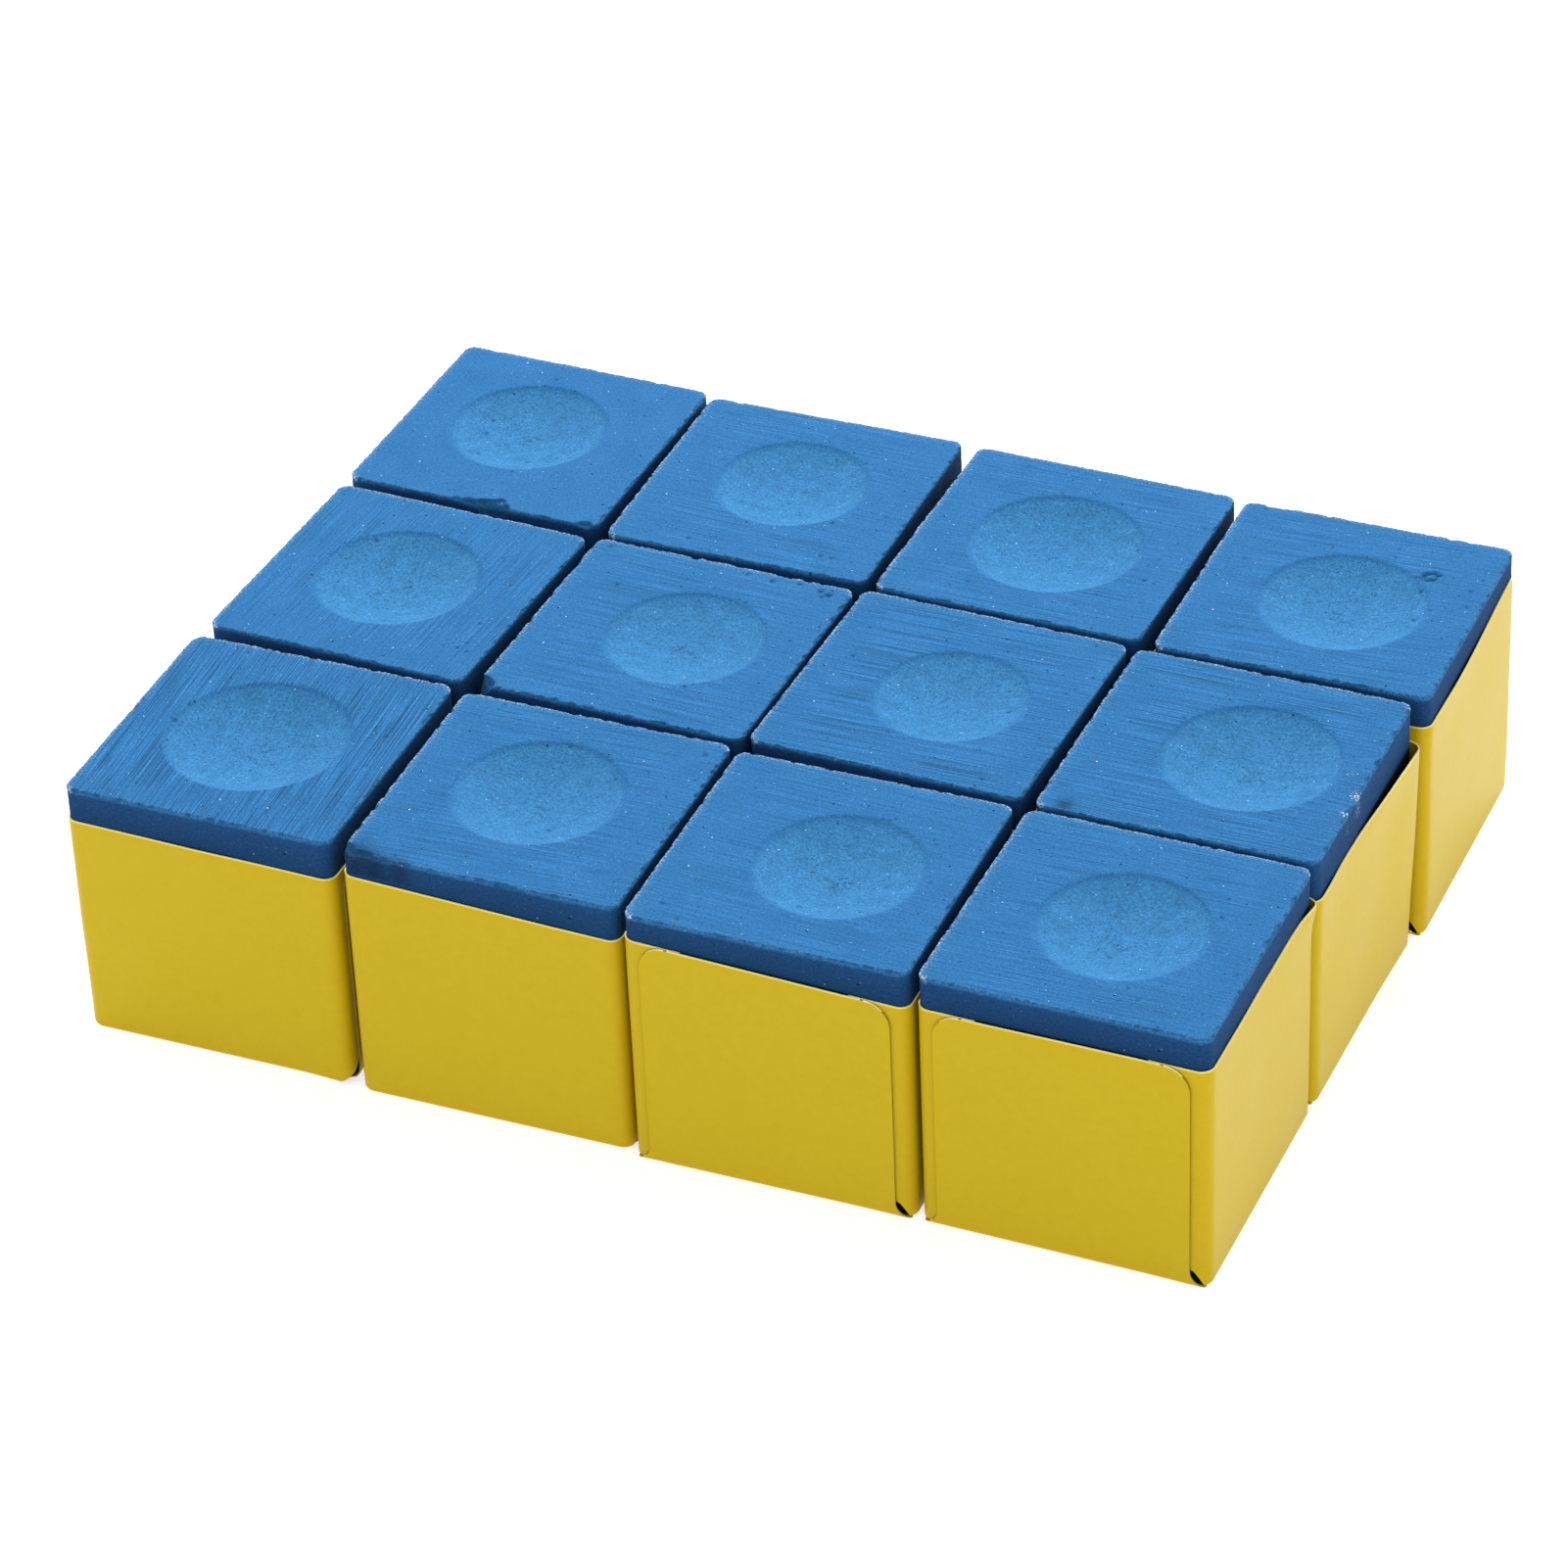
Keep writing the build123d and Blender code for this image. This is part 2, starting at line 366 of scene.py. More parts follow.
LIFTS = {
    "middle_4": (
        Lift((11.1, 4.0, 18.7), (1, 0, 0), 4.5, 2.2, 0.3),
        Lift((11.1, 10.8, 18.7), (1, 0, 0), 5.0, 16.0, 0.6),
        Lift((11.1, -9.0, 18.7), (1, 0, 0), 2.5, 1.5, 0.1),
    ),
    "front_4": (
        Lift((11.1, 10.6, 19.4), (1, 0.1, 0), 1.8, 1.6, 0.35),
        Lift((9.7, -11.2, 3.0), (0, -1, 0), 2.0, 5.0, 0.08),
    ),
    "front_3": (Lift((9.7, -11.2, 2.0), (0, -1, 0), 1.5, 3.0, 0.06),),
    "front_1": (Lift((10.6, -11.1, 0.6), (0.2, -1, 0), 2.2, 2.0, 0.2),),
    "back_4": (Lift((11.1, -2.0, 19.4), (1, 0, 0), 6.0, 1.6, 0.12),),
}


class Rise(NamedTuple):
    """Where a label's top edge is higher: a place on it, and how widely and how far it rises."""

    at: tuple
    reach: float
    height: float


RISES = {"back_4": (Rise((11.1, 11.1), 9.0, 0.7),)}


def smooth_noise(points, cell, seed):
    """Values from -1 to 1 that change smoothly over about one cell."""
    size = 32  # cells after which the values repeat
    table = np.random.default_rng(seed).uniform(-1, 1, (size, size, size))
    scaled = points / cell
    base = np.floor(scaled).astype(int)
    part = scaled - base
    part = part * part * (3 - 2 * part)
    total = np.zeros(len(points))
    for corner in product((0, 1), repeat=3):
        index = (base + corner) % size
        weight = np.prod(np.where(corner, part, 1 - part), axis=1)
        total += weight * table[index[:, 0], index[:, 1], index[:, 2]]
    return total


def layered_noise(points, layers, seed):
    """The sum of layers of noise, given as their height and cell."""
    total = np.zeros(len(points))
    for index, (height, cell) in enumerate(layers):
        total += height * smooth_noise(points, cell, seed + index)
    return total


def distance_in_plan(points, place):
    """How far points are from a place, whatever their height."""
    return np.hypot(points[:, 0] - place[0], points[:, 1] - place[1])


def soft_max(a, b, width):
    """The larger of two values, with the change between them rounded over width."""
    return (a + b + np.sqrt((a - b) ** 2 + width**2)) / 2


def bite(points, chip, seed):
    """Moves the points inside a chip's ball onto its far side, and says which they are."""
    faces = np.array(chip.faces, float)
    faces /= np.linalg.norm(faces)
    centre = np.array(chip.at) + faces * (chip.radius - chip.depth)
    farthest = (1 + CHIP_ROUGHNESS) * chip.radius
    near = np.flatnonzero(((points - centre) ** 2).sum(1) < farthest**2)
    offset = points[near] - centre
    cell = 0.35 * chip.radius + 0.1
    rough = 1 + CHIP_ROUGHNESS * smooth_noise(points[near], cell, seed)
    reach = (chip.radius * rough) ** 2 - (offset**2).sum(1)
    near, offset, reach = (values[reach > 0] for values in (near, offset, reach))
    along = offset @ faces
    points[near] -= np.outer(along + np.sqrt(along**2 + reach), faces)
    return near


def top_grid():
    """Square grid of points over the top, drawn in to the rounded upright corners."""
    edge = np.array(EDGE_STEPS)
    count = round(2 * STRAIGHT / GRID_STEP)
    inner = np.linspace(-STRAIGHT, STRAIGHT, count + 1)
    ticks = np.concatenate([edge - HALF, inner, (HALF - edge)[::-1]])
    x, y = np.meshgrid(ticks, ticks, indexing="ij")
    across = np.maximum(np.abs(x) - STRAIGHT, 0) / UPRIGHT_RADIUS
    deep = np.maximum(np.abs(y) - STRAIGHT, 0) / UPRIGHT_RADIUS
    in_corner = (across > 0) & (deep > 0)
    round_x = STRAIGHT + UPRIGHT_RADIUS * across * np.sqrt(1 - deep**2 / 2)
    round_y = STRAIGHT + UPRIGHT_RADIUS * deep * np.sqrt(1 - across**2 / 2)
    x = np.where(in_corner, np.sign(x) * round_x, x)
    y = np.where(in_corner, np.sign(y) * round_y, y)
    return x, y


def edge_distance(x, y):
    """How far inside the rounded square a point is."""
    across = np.abs(x) - STRAIGHT
    deep = np.abs(y) - STRAIGHT
    outside = np.hypot(np.maximum(across, 0), np.maximum(deep, 0))
    return UPRIGHT_RADIUS - outside - np.minimum(np.maximum(across, deep), 0)


def loop_round(count):
    """Indexes of the grid's outer points, anticlockwise from the front left."""
    grid = np.arange(count * count).reshape(count, count)
    return np.concatenate([grid[:, 0], grid[-1, 1:], grid[-2::-1, -1], grid[0, -2:0:-1]])


def dimple_depth(points, dimple, top):
    """How far the cutter's ball reaches below the top: less than 0 outside its rim."""
    from_centre = distance_in_plan(points, dimple)
    ball = np.sqrt(np.maximum(BALL_RADIUS**2 - from_centre**2, 0))
    return top - dimple.z + ball - BALL_RADIUS


def key_lit_side(points):
    """1 beside the left and back edges, which face the key light and take a painted highlight, and
    less elsewhere.
    """
    leftmost_or_back = np.maximum(-points[:, 0], points[:, 1])
    return np.where(leftmost_or_back > STRAIGHT, 1, UNLIT_EDGE_SHARE)


def label_edge(points, block):
    """Height of the label's top edge near each point, as it may be cut askew."""
    edge = block.label_top - block.look.slant * (points[:, 0] / (2 * LABEL_HALF) + 0.5)
    for rise in RISES.get(block.name, ()):
        edge += rise.height * np.exp(-((distance_in_plan(points, rise.at) / rise.reach) ** 2))
    return edge


def chalk_top(block):
    """Points of the block's top, and their values for the material."""
    look, seed = block.look, block.seed
    x, y = top_grid()
    flat = np.stack([x.ravel(), y.ravel(), np.full(x.size, block.top)], axis=1)
    inward = np.maximum(edge_distance(flat[:, 0], flat[:, 1]), 0)
    radius = EDGE_RADIUS + layered_noise(flat, EDGE_NOISE, seed)
    gap = np.maximum(radius - inward, 0)
    drop = radius - np.sqrt(np.maximum(radius**2 - gap**2, 0))

    depth = dimple_depth(flat, block.dimple, block.top)
    in_dimple = np.clip(depth / RIM_BLEND + 0.5, 0, 1)
    angle = radians(look.saw)
    along = flat[:, 0] * cos(angle) + flat[:, 1] * sin(angle)
    across = flat[:, 1] * cos(angle) - flat[:, 0] * sin(angle)
    none = np.zeros(len(flat))
    stretched = np.stack([along * GROOVE_STRETCH, across, none], axis=1)
    lines = layered_noise(stretched, GROOVE_NOISE, seed + 2)
    grooves = GROOVE_DEPTH * look.grooves * lines * (1 - in_dimple)
    lumps = layered_noise(flat, LUMP_NOISE, seed + 4)
    hollow = soft_max(depth, none, RIM_SOFTNESS) + np.clip(depth, 0, RIM_STEP)
    flat[:, 2] -= drop + hollow - grooves - lumps * np.minimum(inward, 1)
    sawn = 1 - (1 - SAW_IN_DIMPLE) * in_dimple
    values = {
        "hollow": np.clip(depth / HOLLOW_BLEND, 0, 1),
        # A thin ring at the dimple's rim, which the material brightens as a painted highlight
        "rim": 4 * in_dimple * (1 - in_dimple),
        "saw": look.grooves * sawn * np.clip(inward / SAW_START, 0, 1),
        "skin": none,
        "dust": np.exp(-inward / TOP_DUST_AND_HIGHLIGHT) * key_lit_side(flat),
        "grain": np.stack([along, across, none + seed * GRAIN_SHIFT], axis=1),
    }
    return flat, values


def chalk_sides(rim, block):
    """Rows of points down the block's sides and round its bottom edge, and their values."""
    rows = []
    downs = []
    for down in SIDE_ROWS:
        row = rim.copy()
        level = min(down / WAVES_END, 1)
        row[:, 2] = (1 - level) * (rim[:, 2] - down) + level * (block.top - EDGE_RADIUS - down)
        rows.append(row)
        downs.append(down)
    for step in (0, 45, 90):
        row = rim.copy()
        row[:, :2] *= 1 - BOTTOM_RADIUS * (1 - cos(radians(step))) / HALF
        row[:, 2] = PAPER + BOTTOM_RADIUS * (1 - sin(radians(step)))
        rows.append(row)
        downs.append(HALF)
    sides = np.concatenate(rows)
    down = np.repeat(downs, len(rim))
    turn = np.arctan2(sides[:, 1], sides[:, 0])
    outward = sides * (1, 1, 0)
    outward /= np.linalg.norm(outward, axis=1)[:, None]
    skin = np.clip(down / SIDE_BLEND, 0, 1)
    rough = SIDE_DEPTH + SIDE_DEPTH * smooth_noise(sides, SIDE_CELL, block.seed + 6)
    sides -= outward * (rough * skin)[:, None]
    none = np.zeros(len(sides))
    grain_shift = block.seed * GRAIN_SHIFT + SIDE_GRAIN_SHIFT
    values = {
        "hollow": none,
        "rim": none,
        "saw": none,
        "skin": skin,
        "dust": np.exp(-down / SIDE_DUST_AND_HIGHLIGHT) * key_lit_side(sides),
        "grain": np.stack([turn * HALF, sides[:, 2], none + grain_shift], axis=1),
    }
    return sides, values


def chalk_shape(block):
    """Points, faces and surface values of one chalk block."""
    flat, values = chalk_top(block)
    count = round(sqrt(len(flat)))
    loop = loop_round(count)
    sides, side_values = chalk_sides(flat[loop], block)
    points = np.concatenate([flat, sides])
    values = {key: np.concatenate([values[key], side_values[key]]) for key in values}
    values["worn"] = wear_down(points, block)
    values["scuff"] = np.zeros(len(points))
    for scuff in SCUFFS.get(block.name, ()):
        away = distance_in_plan(points, scuff.at) / scuff.reach
        below = np.maximum(block.top - SCUFF_DEPTH - points[:, 2], 0) / SCUFF_FADE
        values["scuff"] += scuff.amount * np.exp(-(away**2) - below**2)
    values["under"] = label_edge(points, block) - points[:, 2]
    return points, chalk_faces(count, len(sides) // len(loop) + 1), values


def edge_chip(random, block, radius, depth):
    """A chip at a random place along the top edges."""
    place = random.uniform(-HALF, HALF)
    normal = ((0, -1), (1, 0), (0, 1), (-1, 0))[random.integers(4)]
    at = (
        normal[0] * HALF + normal[1] * place,
        normal[1] * HALF + normal[0] * place,
        block.top - CHIP_SINK,
    )
    faces = (normal[0], normal[1], random.uniform(*CHIP_TILT))
    return Chip(at, faces, radius, depth)


def pit(points, block, at, radius, depth):
    """A small pit in the top, at the point nearest a place."""
    on_sides = points[:, 2] < block.top - SIDES_START
    away = distance_in_plan(points, at) + on_sides * HALF
    return Chip(tuple(points[np.argmin(away)]), (0, 0, 1), radius, depth)


def random_wear(points, block):
    """Small chips along the edges, pits in the top, and scratches in the dimple."""
    random = np.random.default_rng(block.seed)
    chips = []
    for count, radii, depths in EDGE_CHIPS:
        for _ in range(count):
            radius = random.uniform(*radii) * block.look.wear
            chips.append(edge_chip(random, block, radius, radius * random.uniform(*depths)))
    for _ in range(PITS):
        radius = random.uniform(*PIT_RADIUS)
        at = random.uniform(-PIT_REACH, PIT_REACH, 2)
        chips.append(pit(points, block, at, radius, PIT_DEPTH * radius))
    for _ in range(block.look.scars):
        start = np.array(block.dimple[:2]) + random.normal(0, SCAR_SPREAD, 2)
        angle = random.uniform(0, pi)
        for step in range(SCAR_PITS):
            at = start + SCAR_STEP * step * np.array([cos(angle), sin(angle)])
            chips.append(pit(points, block, at, SCAR_RADIUS, SCAR_DEPTH))
    return chips


def ring_crack(points, block):
    """Pits along the ring crack in a block's top and the short crack that leads to it, if any."""
    if block.name not in CRACKS:
        return []
    (x, y), radius = CRACKS[block.name]
    places = []
    for angle in RING_ANGLES:
        across = radius * (cos(angle) + RING_SKEW * sin(angle))
        places.append(((x + across, y + radius * sin(angle)), RING_DEPTH))
    for step in TAIL_STEPS:
        places.append(((x - step * radius, y - TAIL_SLOPE * step * radius), TAIL_DEPTH))
    return [pit(points, block, at, CRACK_PIT_RADIUS, depth) for at, depth in places]


def wear_down(points, block):
    """Bites chips and pits out of the block: 1 where the surface is worn, and 0 elsewhere. The
    material paints shade into these chips and pits.
    """
    chips = [*CHIPS.get(block.name, ()), *random_wear(points, block), *ring_crack(points, block)]
    worn = np.zeros(len(points))
    for index, chip in enumerate(chips):
        worn[bite(points, chip, block.seed + index)] = 1
    return worn


def chalk_faces(count, rows):
    """The top's squares, the squares of the side rows, and the bottom."""
    grid = np.arange(count * count).reshape(count, count)
    faces = np.stack([grid[:-1, :-1], grid[1:, :-1], grid[1:, 1:], grid[:-1, 1:]], axis=-1)
    faces = faces.reshape(-1, 4).tolist()
    upper = loop_round(count)
    start = count * count
    for _ in range(rows - 1):
        lower = np.arange(start, start + len(upper))
        start += len(upper)
        ring = np.stack([upper, lower, np.roll(lower, -1), np.roll(upper, -1)], axis=1)
        faces += ring.tolist()
        upper = lower
    faces.append(upper[::-1].tolist())
    return faces


def outline(along):
    """Middle of a side panel's sheet in plan, and its outward normal, at a distance along it."""
    past = abs(along) - SHEET_STRAIGHT
    sign = 1 if along >= 0 else -1
    if past <= 0:
        return np.array([SHEET_FACE, along]), np.array([1.0, 0.0])
    angle = min(past / SHEET_RADIUS, pi / 2)
    rest = max(past - SHEET_TURN, 0)
    x = SHEET_STRAIGHT + SHEET_RADIUS * cos(angle) - rest
    y = sign * (SHEET_STRAIGHT + SHEET_RADIUS * sin(angle))
    return np.array([x, y]), np.array([cos(angle), sign * sin(angle)])


def fold_rows(radius, top):
    """(inset, height) of each row of points, from the foot of a fold to the sheet's top edge."""
    rows = []
    for step in range(FOLD_STEPS + 1):
        angle = step * pi / (2 * FOLD_STEPS)
        rows.append((radius * (1 - sin(angle)), PAPER / 2 + radius * (1 - cos(angle))))
    near = np.arange(rows[-1][1] + NEAR_STEP, NEAR_END, NEAR_STEP)
    far = np.linspace(NEAR_END, top - FLAP_CORNER, FAR_ROWS)
    corner = top - FLAP_CORNER * (1 - np.sin(np.linspace(0, pi / 2, CORNER_ROWS)))[1:]
    brink = [top - below for below in BRINK_ROWS]
    return rows + [(0, height) for height in sorted((*near, *far, *corner, *brink))]


def relief_cut(block, panel, end):
    """Height, start and bend of the relief cut at an end of a side panel.

    The panel is 1 for the right one and -1 for the left, and the end is 1 or -1 along it.
    """
    if block.name == "front_1" and panel < 0 < end:
        return RELIEF_HEIGHT, ROUNDED_RELIEF_START, ROUNDED_RELIEF_BEND
    is_open = block.look.flaps_face == "y" and panel > 0
    return RELIEF_HEIGHT if is_open else CLOSED_RELIEF_HEIGHT, RELIEF_START, RELIEF_BEND


def ear_limit(height, cut):
    """How far along the sheet a side panel and its ear reach at a height, by its relief cut."""
    relief, start, bend = cut
    if height >= relief:
        return min(SHEET_END, RELIEF_END + EAR_SLOPE * (height - relief))
    return RELIEF_END - (RELIEF_END - start) * (1 - height / relief) ** bend


def flap_limit(height, top, foot):
    """Half the flap's width at a height: flared at its foot and rounded at its top corners."""
    flare = foot * max(1 - height / RELIEF_HEIGHT, 0) ** FLARE_BEND
    above = max(height - (top - FLAP_CORNER), 0)
    return FLAP_HALF + flare - (FLAP_CORNER - sqrt(max(FLAP_CORNER**2 - above**2, 0)))


def panel_columns():
    """Distances along the sheet of the columns of a side panel and its ears."""
    half = np.concatenate(
        [
            np.linspace(0, SHEET_STRAIGHT, PANEL_COLUMNS),
            SHEET_STRAIGHT + np.linspace(0, SHEET_TURN, TURN_COLUMNS)[1:],
            np.linspace(SHEET_STRAIGHT + SHEET_TURN, SHEET_END, EAR_COLUMNS)[1:],
        ]
    )
    return np.concatenate([-half[::-1], half[1:]])


def panel_rows(block, panel):
    """Rows of points of a side panel, 1 for the right one and -1 for the left, and its ears."""
    columns = panel_columns()
    cuts = [relief_cut(block, panel, end) for end in (-1, 1)]
    rows = []
    for inset, height in fold_rows(BOTTOM_RADIUS + PAPER / 2, block.label_top):
        start, end = -ear_limit(height, cuts[0]), ear_limit(height, cuts[1])
        row = []
        for along in np.clip(columns, start, end).tolist():
            point, normal = outline(along)
            x, y = panel * (point - normal * inset)
            row.append((x, y, height))
        rows.append(row)
    return rows


def flap_rows(block, side):
    """Rows of points of a flap: the side is 1 for the back one and -1 for the front."""
    look, top = block.look, block.label_top
    outermost = "back" if side > 0 else "front"
    is_free = look.flaps_face == "y" and block.name.startswith(outermost)
    lift = FREE_LIFT if is_free else PRESSED_LIFT
    feet = FLAP_FEET[::side]
    if look.flaps_face == "x":
        feet = (PLAIN_FLAP_FOOT, PLAIN_FLAP_FOOT)
    rows = []
    for inset, height in fold_rows(FLAP_FOLD_RADIUS, top):
        row = []
        for share in np.linspace(-1, 1, FLAP_COLUMNS):
            limit = flap_limit(height, top, feet[0 if share < 0 else 1])
            out = max((abs(share) - (1 - LIFTED_SHARE)) / LIFTED_SHARE, 0) ** 2
            standing_off = lift * out * min(height, 1)
            row.append((side * share * limit, side * (FLAP_FACE - inset + standing_off), height))
        rows.append(row)
    return rows


def add_grid(points, faces, rows):
    """Adds rows of points and joins neighbours by squares."""
    start = len(points)
    width = len(rows[0])
    for row in rows:
        points.extend(row)
    for i in range(len(rows) - 1):
        for j in range(width - 1):
            a = start + i * width + j
            faces.append((a, a + 1, a + width + 1, a + width))


def label_shape(block):
    """Points and faces of the middle of the folded sheet: side panels, bottom and flaps."""
    points, faces = [], []
    feet = []
    for panel in (-1, 1):
        rows = panel_rows(block, panel)
        add_grid(points, faces, rows)
        feet.append(np.array(rows[0]))
    share = np.linspace(0, 1, FLAP_COLUMNS)[:, None]
    bottom = [left + (right - left) * share for left, right in zip(feet[0][::-1], feet[1])]
    add_grid(points, faces, bottom)
    add_grid(points, faces, [bottom[-1], *flap_rows(block, 1)])
    add_grid(points, faces, [bottom[0][::-1], *flap_rows(block, -1)])
    points = np.array(points)
    if block.look.flaps_face == "x":
        points = points[:, [1, 0, 2]] * (-1, 1, 1)
    return points, faces


def settle_label(points, block):
    """Cuts the label's top askew, lets its outer faces slacken, and lifts it off in places."""
    height = points[:, 2].copy()
    points[:, 2] *= label_edge(points, block) / block.label_top
    row, column = block.name.split("_")
    outer_faces = (
        (row == "front", (0, -1, 0)),
        (row == "back", (0, 1, 0)),
        (column == "1", (-1, 0, 0)),
        (column == "4", (1, 0, 0)),
    )
    for is_outer, normal in outer_faces:
        if is_outer:
            on_face = np.clip((points @ normal - HALF + FACE_DEPTH) / FACE_DEPTH, 0, 1)
            wave = 0.5 + 0.5 * smooth_noise(points, WAVE_CELL, block.seed + 7)
            slack = WAVE_HEIGHT * wave * np.clip(height / WAVE_START, 0, 1)
            points += np.outer(on_face * slack, normal)
    for lift in LIFTS.get(block.name, ()):
        level = distance_in_plan(points, lift.at) / lift.reach
        up = (points[:, 2] - lift.at[2]) / lift.rise
        points += np.outer(lift.height * np.exp(-(level**2) - up**2), lift.faces)


def new_mesh(name, points, faces):
    """A mesh in metres from points in millimetres."""
    mesh = bpy.data.meshes.new(name)
    mesh.from_pydata((points * MM).tolist(), [], faces)
    mesh.validate()
    mesh.update()
    return mesh


def write_values(mesh, name, values, domain="POINT"):
    """Gives a mesh a named value, or a vector, at each of its points or face corners."""
    if values.ndim == 1:
        mesh.attributes.new(name, "FLOAT", domain).data.foreach_set("value", values)
    else:
        layer = mesh.attributes.new(name, "FLOAT_VECTOR", domain)
        layer.data.foreach_set("vector", values.ravel())


def weld(mesh):
    """Joins points at the same place, and drops the faces that this leaves without area."""
    work = bmesh.new()
    work.from_mesh(mesh)
    bmesh.ops.remove_doubles(work, verts=work.verts, dist=WELD_DISTANCE * MM)
    bmesh.ops.dissolve_degenerate(work, edges=work.edges, dist=FLAT_DISTANCE * MM)
    bmesh.ops.recalc_face_normals(work, faces=work.faces)
    work.to_mesh(mesh)
    work.free()


def link(item):
    """Adds an object to the scene."""
    bpy.context.scene.collection.objects.link(item)


def place_piece(mesh, slot, name, place, material):
    """Adds a cube's chalk or label where the cube stands, in place of its CAD node."""
    piece = bpy.data.objects.new(f"{slot}_{name}", mesh)
    link(piece)
    piece.matrix_world = place
    mesh.materials.append(material)
    mesh.polygons.foreach_set("use_smooth", np.ones(len(mesh.polygons), bool))
    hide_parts(NODES[slot] + name)
    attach(piece, f"cube_{name}")


def make(tree, kind, settings=None, **inputs):
    """Adds a shader node. Inputs are values, or the outputs of other nodes.

    An input is named as in Blender, with _ for spaces, or is _ and its number.
    """
    node = tree.nodes.new("ShaderNode" + kind)
    for key, value in (settings or {}).items():
        setattr(node, key, value)
    for key, value in inputs.items():
        socket = node.inputs[int(key[1:]) if key[0] == "_" else key.replace("_", " ")]
        if isinstance(value, bpy.types.NodeSocket):
            tree.links.new(value, socket)
        else:
            socket.default_value = value
    return node


def math_node(tree, operation, *values, clamp=False):
    """The output of a Math node."""
    inputs = {f"_{index}": value for index, value in enumerate(values)}
    return make(tree, "Math", {"operation": operation, "use_clamp": clamp}, **inputs).outputs[0]


def multiply(tree, first, second, clamp=False):
    """The product of two values."""
    return math_node(tree, "MULTIPLY", first, second, clamp=clamp)


def scale_add(tree, value, factor, addend, clamp=False):
    """A value times a factor, plus an addend."""
    return math_node(tree, "MULTIPLY_ADD", value, factor, addend, clamp=clamp)


def times(tree, value, factor, amount):
    """A value multiplied by 1 plus a factor times an amount."""
    return multiply(tree, value, scale_add(tree, factor, amount, 1.0))


def mix_colour(tree, factor, first, second):
    """The output of a node that mixes two colours."""
    return make(tree, "Mix", {"data_type": "RGBA"}, _0=factor, _6=first, _7=second).outputs[2]


def scale_colour(tree, colour, factor):
    """A colour multiplied by a value."""
    return make(tree, "VectorMath", {"operation": "SCALE"}, _0=colour, Scale=factor).outputs[0]


def attribute(tree, name, output="Fac"):
    """A named value that the mesh carries."""
    return make(tree, "Attribute", {"attribute_name": name}).outputs[output]


def noise(tree, place, scale, detail, roughness=0.5):
    """The output of a Noise texture, about 0.5."""
    settings = {"Vector": place, "Scale": scale, "Detail": detail, "Roughness": roughness}
    return make(tree, "TexNoise", **settings).outputs["Fac"]


def even_noise(tree, *settings):
    """Noise about 0, which darkens as much as it brightens."""
    return math_node(tree, "SUBTRACT", noise(tree, *settings), 0.5)


def mapped(tree, place, scale=(1, 1, 1), shift=(0, 0, 0)):
    """A texture place, scaled and shifted."""
    return make(tree, "Mapping", Vector=place, Scale=scale, Location=shift).outputs["Vector"]


def dots(tree, place, scale, share, radius):
    """1 inside small round dots, one in some of the cells of a flat Voronoi pattern.

    The pattern's random colour picks the cells, the dots' sizes and their strengths.
    """
    settings = {"feature": "F1", "voronoi_dimensions": "2D"}
    cells = make(tree, "TexVoronoi", settings, Vector=place, Scale=scale)
    picked = make(tree, "SeparateColor", Color=cells.outputs["Color"])
    is_dot = math_node(tree, "LESS_THAN", picked.outputs[0], share)
    in_cells = radius * scale
    size = scale_add(tree, picked.outputs[1], in_cells, 0.3 * in_cells)
    edge = math_node(tree, "SUBTRACT", size, cells.outputs["Distance"])
    soft = math_node(tree, "DIVIDE", edge, 0.25 * in_cells, clamp=True)
    strength = scale_add(tree, picked.outputs[2], 0.8, 0.3, clamp=True)
    return multiply(tree, multiply(tree, soft, is_dot), strength)


def new_material(name):
    """A node material, its tree and its Principled shader."""
    material = bpy.data.materials.new(name)
    material.use_nodes = True
    shader = material.node_tree.nodes["Principled BSDF"]
    return material, material.node_tree, shader


def add_bump(tree, shader, height):
    """Dents the shader's surface by a height in millimetres."""
    bump = make(tree, "Bump", Height=height, Strength=1.0, Distance=MM)
    tree.links.new(bump.outputs["Normal"], shader.inputs["Normal"])


